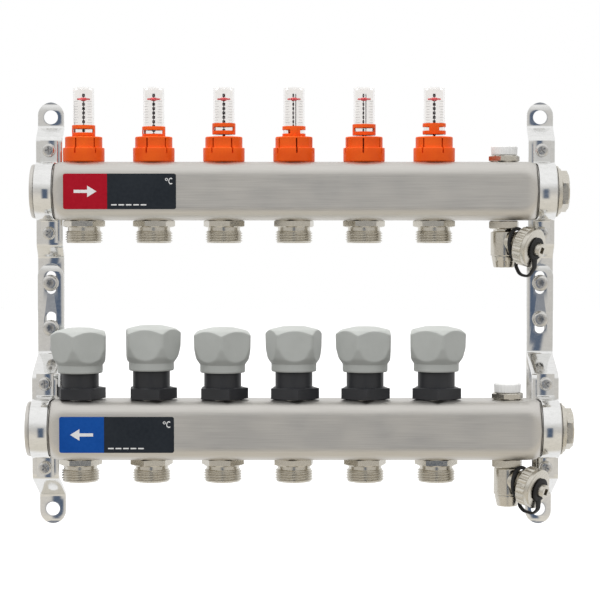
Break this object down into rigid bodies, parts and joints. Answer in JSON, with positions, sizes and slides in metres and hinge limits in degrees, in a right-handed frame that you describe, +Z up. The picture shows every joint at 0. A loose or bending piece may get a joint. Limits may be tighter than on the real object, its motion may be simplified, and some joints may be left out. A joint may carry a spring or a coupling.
{
  "type": "underfloor heating manifold",
  "caption": "Two stainless bars on cranked wall brackets, with flow meters above the supply bar, hand valves above the return bar, threaded outlets below, air vents and drain cocks.",
  "frame": {"origin": "on the wall's face, midway between the four fixing holes of the brackets", "axes": "+X to the right along the bars, +Y into the wall, +Z up; the front faces -Y"},
  "size_m": [0.3824, 0.0886, 0.3172],
  "materials": {
    "stainless": "brushed",
    "plated_steel": "bright zinc plated",
    "nickel_brass": "nickel plated",
    "orange_plastic": "satin",
    "clear_plastic": "clear",
    "indicator_plastic": "satin",
    "grey_plastic": "satin",
    "black_plastic": "satin",
    "white_plastic": "satin",
    "rubber": "matt"
  },
  "bodies": {
    "root": {"supply_bar": "stainless", "end_plug_supply": "nickel_brass", "upper_bracket_left": "plated_steel", "upper_bracket_right": "plated_steel", "pipe_clamp_supply_left": "plated_steel", "pipe_clamp_supply_right": "plated_steel", "vent_base_supply": "nickel_brass", "drain_nipple_supply": "nickel_brass", "sight_tube_1": "clear_plastic", "sight_tube_2": "clear_plastic", "sight_tube_3": "clear_plastic", "sight_tube_4": "clear_plastic", "sight_tube_5": "clear_plastic", "sight_tube_6": "clear_plastic"},
    "return_assembly": {"return_bar": "stainless", "end_plug_return": "nickel_brass", "lower_bracket_left": "plated_steel", "lower_bracket_right": "plated_steel", "pipe_clamp_return_left": "plated_steel", "pipe_clamp_return_right": "plated_steel", "vent_base_return": "nickel_brass", "drain_nipple_return": "nickel_brass", "valve_body_1": "black_plastic", "valve_body_2": "black_plastic", "valve_body_3": "black_plastic", "valve_body_4": "black_plastic", "valve_body_5": "black_plastic", "valve_body_6": "black_plastic"},
    "meter_ring_1": {"flow_meter_ring_1": "orange_plastic"},
    "lock_collar_1": {"lock_collar_1": "orange_plastic"},
    "flow_indicator_1": {"flow_indicator_1": "indicator_plastic"},
    "meter_ring_2": {"flow_meter_ring_2": "orange_plastic"},
    "lock_collar_2": {"lock_collar_2": "orange_plastic"},
    "flow_indicator_2": {"flow_indicator_2": "indicator_plastic"},
    "meter_ring_3": {"flow_meter_ring_3": "orange_plastic"},
    "lock_collar_3": {"lock_collar_3": "orange_plastic"},
    "flow_indicator_3": {"flow_indicator_3": "indicator_plastic"},
    "meter_ring_4": {"flow_meter_ring_4": "orange_plastic"},
    "lock_collar_4": {"lock_collar_4": "orange_plastic"},
    "flow_indicator_4": {"flow_indicator_4": "indicator_plastic"},
    "meter_ring_5": {"flow_meter_ring_5": "orange_plastic"},
    "lock_collar_5": {"lock_collar_5": "orange_plastic"},
    "flow_indicator_5": {"flow_indicator_5": "indicator_plastic"},
    "meter_ring_6": {"flow_meter_ring_6": "orange_plastic"},
    "lock_collar_6": {"lock_collar_6": "orange_plastic"},
    "flow_indicator_6": {"flow_indicator_6": "indicator_plastic"},
    "valve_knob_1": {"valve_knob_1": "grey_plastic"},
    "valve_knob_2": {"valve_knob_2": "grey_plastic"},
    "valve_knob_3": {"valve_knob_3": "grey_plastic"},
    "valve_knob_4": {"valve_knob_4": "grey_plastic"},
    "valve_knob_5": {"valve_knob_5": "grey_plastic"},
    "valve_knob_6": {"valve_knob_6": "grey_plastic"},
    "vent_knob_supply": {"vent_knob_supply": "white_plastic"},
    "drain_cock_supply": {"drain_cock_supply": "nickel_brass", "cap_strap_supply": "rubber"},
    "hose_cap_supply": {"hose_cap_supply": "nickel_brass"},
    "vent_knob_return": {"vent_knob_return": "white_plastic"},
    "drain_cock_return": {"drain_cock_return": "nickel_brass", "cap_strap_return": "rubber"},
    "hose_cap_return": {"hose_cap_return": "nickel_brass"}
  },
  "joints": [
    {"name": "bar_spacing", "type": "slide", "parent": "root", "child": "return_assembly", "axis": [0, 0, 1], "range_m": [-0.0023, 0.001]},
    {"name": "flow_setting_1", "type": "hinge", "parent": "root", "child": "meter_ring_1", "pos_m": [-0.151, -0.034, 0.089], "axis": [0, 0, 1], "range_deg": [-360, 540]},
    {"name": "collar_slide_1", "type": "slide", "parent": "meter_ring_1", "child": "lock_collar_1", "axis": [0, 0, 1], "range_m": [-0.0015, 0.0067]},
    {"name": "indicator_slide_1", "type": "slide", "parent": "root", "child": "flow_indicator_1", "axis": [0, 0, 1], "range_m": [-0.016, 0], "stiffness_N_per_m": 20, "springref_m": 0.004},
    {"name": "flow_setting_2", "type": "hinge", "parent": "root", "child": "meter_ring_2", "pos_m": [-0.101, -0.034, 0.089], "axis": [0, 0, 1], "range_deg": [-360, 540]},
    {"name": "collar_slide_2", "type": "slide", "parent": "meter_ring_2", "child": "lock_collar_2", "axis": [0, 0, 1], "range_m": [-0.0006, 0.0076]},
    {"name": "indicator_slide_2", "type": "slide", "parent": "root", "child": "flow_indicator_2", "axis": [0, 0, 1], "range_m": [-0.016, 0], "stiffness_N_per_m": 20, "springref_m": 0.004},
    {"name": "flow_setting_3", "type": "hinge", "parent": "root", "child": "meter_ring_3", "pos_m": [-0.051, -0.034, 0.089], "axis": [0, 0, 1], "range_deg": [-360, 540]},
    {"name": "collar_slide_3", "type": "slide", "parent": "meter_ring_3", "child": "lock_collar_3", "axis": [0, 0, 1], "range_m": [-0.0029, 0.0053]},
    {"name": "indicator_slide_3", "type": "slide", "parent": "root", "child": "flow_indicator_3", "axis": [0, 0, 1], "range_m": [-0.016, 0], "stiffness_N_per_m": 20, "springref_m": 0.004},
    {"name": "flow_setting_4", "type": "hinge", "parent": "root", "child": "meter_ring_4", "pos_m": [-0.001, -0.034, 0.089], "axis": [0, 0, 1], "range_deg": [-360, 540]},
    {"name": "collar_slide_4", "type": "slide", "parent": "meter_ring_4", "child": "lock_collar_4", "axis": [0, 0, 1], "range_m": [-0.0008, 0.0074]},
    {"name": "indicator_slide_4", "type": "slide", "parent": "root", "child": "flow_indicator_4", "axis": [0, 0, 1], "range_m": [-0.016, 0], "stiffness_N_per_m": 20, "springref_m": 0.004},
    {"name": "flow_setting_5", "type": "hinge", "parent": "root", "child": "meter_ring_5", "pos_m": [0.049, -0.034, 0.089], "axis": [0, 0, 1], "range_deg": [-360, 540]},
    {"name": "collar_slide_5", "type": "slide", "parent": "meter_ring_5", "child": "lock_collar_5", "axis": [0, 0, 1], "range_m": [-0.0022, 0.006]},
    {"name": "indicator_slide_5", "type": "slide", "parent": "root", "child": "flow_indicator_5", "axis": [0, 0, 1], "range_m": [-0.016, 0], "stiffness_N_per_m": 20, "springref_m": 0.004},
    {"name": "flow_setting_6", "type": "hinge", "parent": "root", "child": "meter_ring_6", "pos_m": [0.099, -0.034, 0.089], "axis": [0, 0, 1], "range_deg": [-360, 540]},
    {"name": "collar_slide_6", "type": "slide", "parent": "meter_ring_6", "child": "lock_collar_6", "axis": [0, 0, 1], "range_m": [-0.0029, 0.0053]},
    {"name": "indicator_slide_6", "type": "slide", "parent": "root", "child": "flow_indicator_6", "axis": [0, 0, 1], "range_m": [-0.016, 0], "stiffness_N_per_m": 20, "springref_m": 0.004},
    {"name": "valve_turn_1", "type": "hinge", "parent": "return_assembly", "child": "valve_knob_1", "pos_m": [-0.151, -0.062, -0.078], "axis": [0, 0, 1], "range_deg": [-90, 720]},
    {"name": "valve_turn_2", "type": "hinge", "parent": "return_assembly", "child": "valve_knob_2", "pos_m": [-0.101, -0.062, -0.078], "axis": [0, 0, 1], "range_deg": [-90, 720]},
    {"name": "valve_turn_3", "type": "hinge", "parent": "return_assembly", "child": "valve_knob_3", "pos_m": [-0.051, -0.062, -0.078], "axis": [0, 0, 1], "range_deg": [-90, 720]},
    {"name": "valve_turn_4", "type": "hinge", "parent": "return_assembly", "child": "valve_knob_4", "pos_m": [-0.001, -0.062, -0.078], "axis": [0, 0, 1], "range_deg": [-90, 720]},
    {"name": "valve_turn_5", "type": "hinge", "parent": "return_assembly", "child": "valve_knob_5", "pos_m": [0.049, -0.062, -0.078], "axis": [0, 0, 1], "range_deg": [-90, 720]},
    {"name": "valve_turn_6", "type": "hinge", "parent": "return_assembly", "child": "valve_knob_6", "pos_m": [0.099, -0.062, -0.078], "axis": [0, 0, 1], "range_deg": [-90, 720]},
    {"name": "vent_turn_supply", "type": "hinge", "parent": "root", "child": "vent_knob_supply", "pos_m": [0.149, -0.034, 0.089], "axis": [0, 0, 1], "range_deg": [0, 360]},
    {"name": "drain_swivel_supply", "type": "hinge", "parent": "root", "child": "drain_cock_supply", "pos_m": [0.149, -0.034, 0.089], "axis": [0, 0, 1], "range_deg": [-90, 30]},
    {"name": "cap_turn_supply", "type": "hinge", "parent": "drain_cock_supply", "child": "hose_cap_supply", "pos_m": [0.149, -0.034, 0.05425], "axis": [0.7636, -0.6052, -0.225], "range_deg": [0, 360]},
    {"name": "vent_turn_return", "type": "hinge", "parent": "return_assembly", "child": "vent_knob_return", "pos_m": [0.149, -0.062, -0.078], "axis": [0, 0, 1], "range_deg": [0, 360]},
    {"name": "drain_swivel_return", "type": "hinge", "parent": "return_assembly", "child": "drain_cock_return", "pos_m": [0.149, -0.062, -0.078], "axis": [0, 0, 1], "range_deg": [-90, 30]},
    {"name": "cap_turn_return", "type": "hinge", "parent": "drain_cock_return", "child": "hose_cap_return", "pos_m": [0.149, -0.062, -0.11275], "axis": [0.7636, -0.6052, -0.225], "range_deg": [0, 360]}
  ]
}
